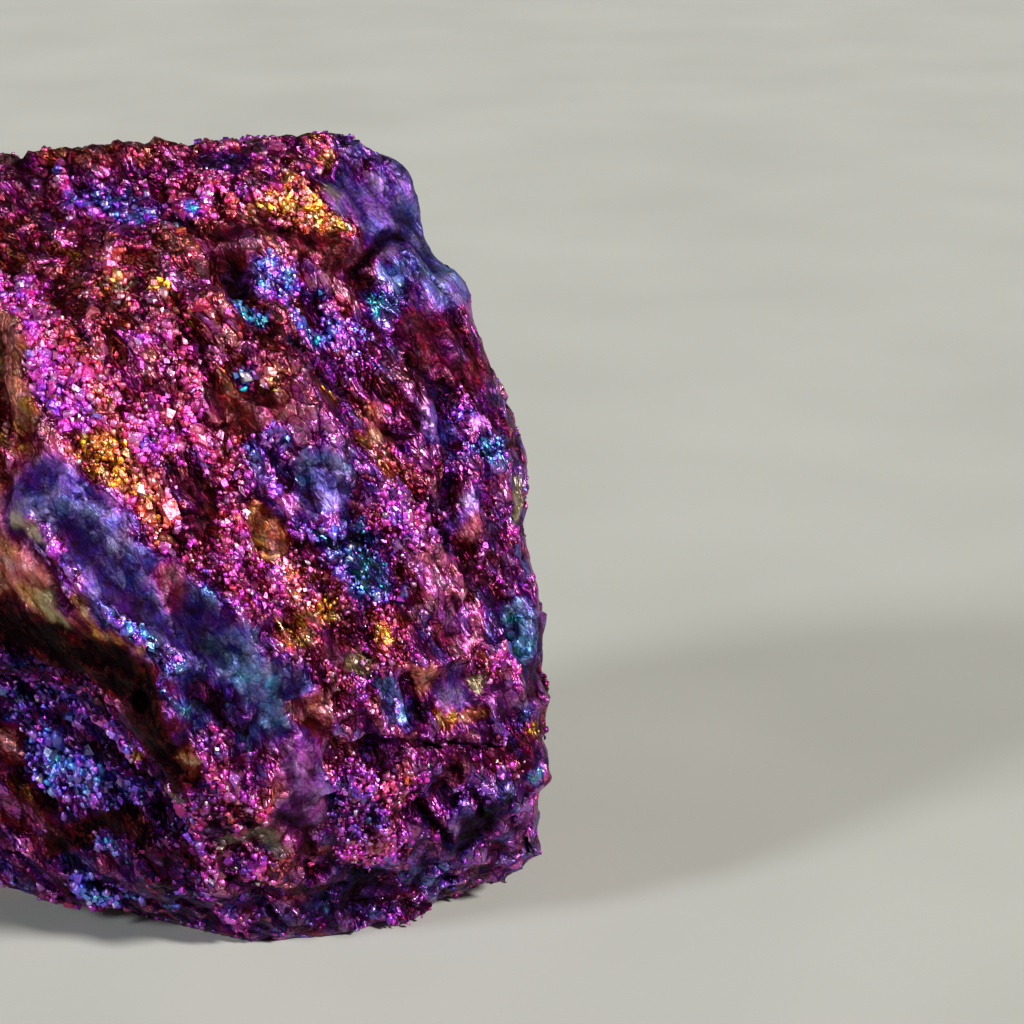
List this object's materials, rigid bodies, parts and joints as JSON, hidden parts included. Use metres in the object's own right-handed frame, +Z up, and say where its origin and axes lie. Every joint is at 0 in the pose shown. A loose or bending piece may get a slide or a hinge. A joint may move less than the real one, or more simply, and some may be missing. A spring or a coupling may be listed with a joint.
{
  "type": "peacock ore specimen",
  "caption": "Hand-sized broken piece of iridescent copper ore that stands on a natural flat break, with a granular front break, a ledge and a deep hollow.",
  "frame": {"origin": "middle of the bottom of the bounding box, on the flat break that the stone rests on", "axes": "+Z up, +X to the right seen from the front, +Y away from the broad front break"},
  "size_m": [0.06, 0.045, 0.06],
  "materials": {
    "ore": "iridescent metallic tarnish of magenta, violet, blue and gold over granular broken sulphide, glittering"
  },
  "bodies": {
    "root": {"ore_stone": "ore"}
  },
  "joints": []
}
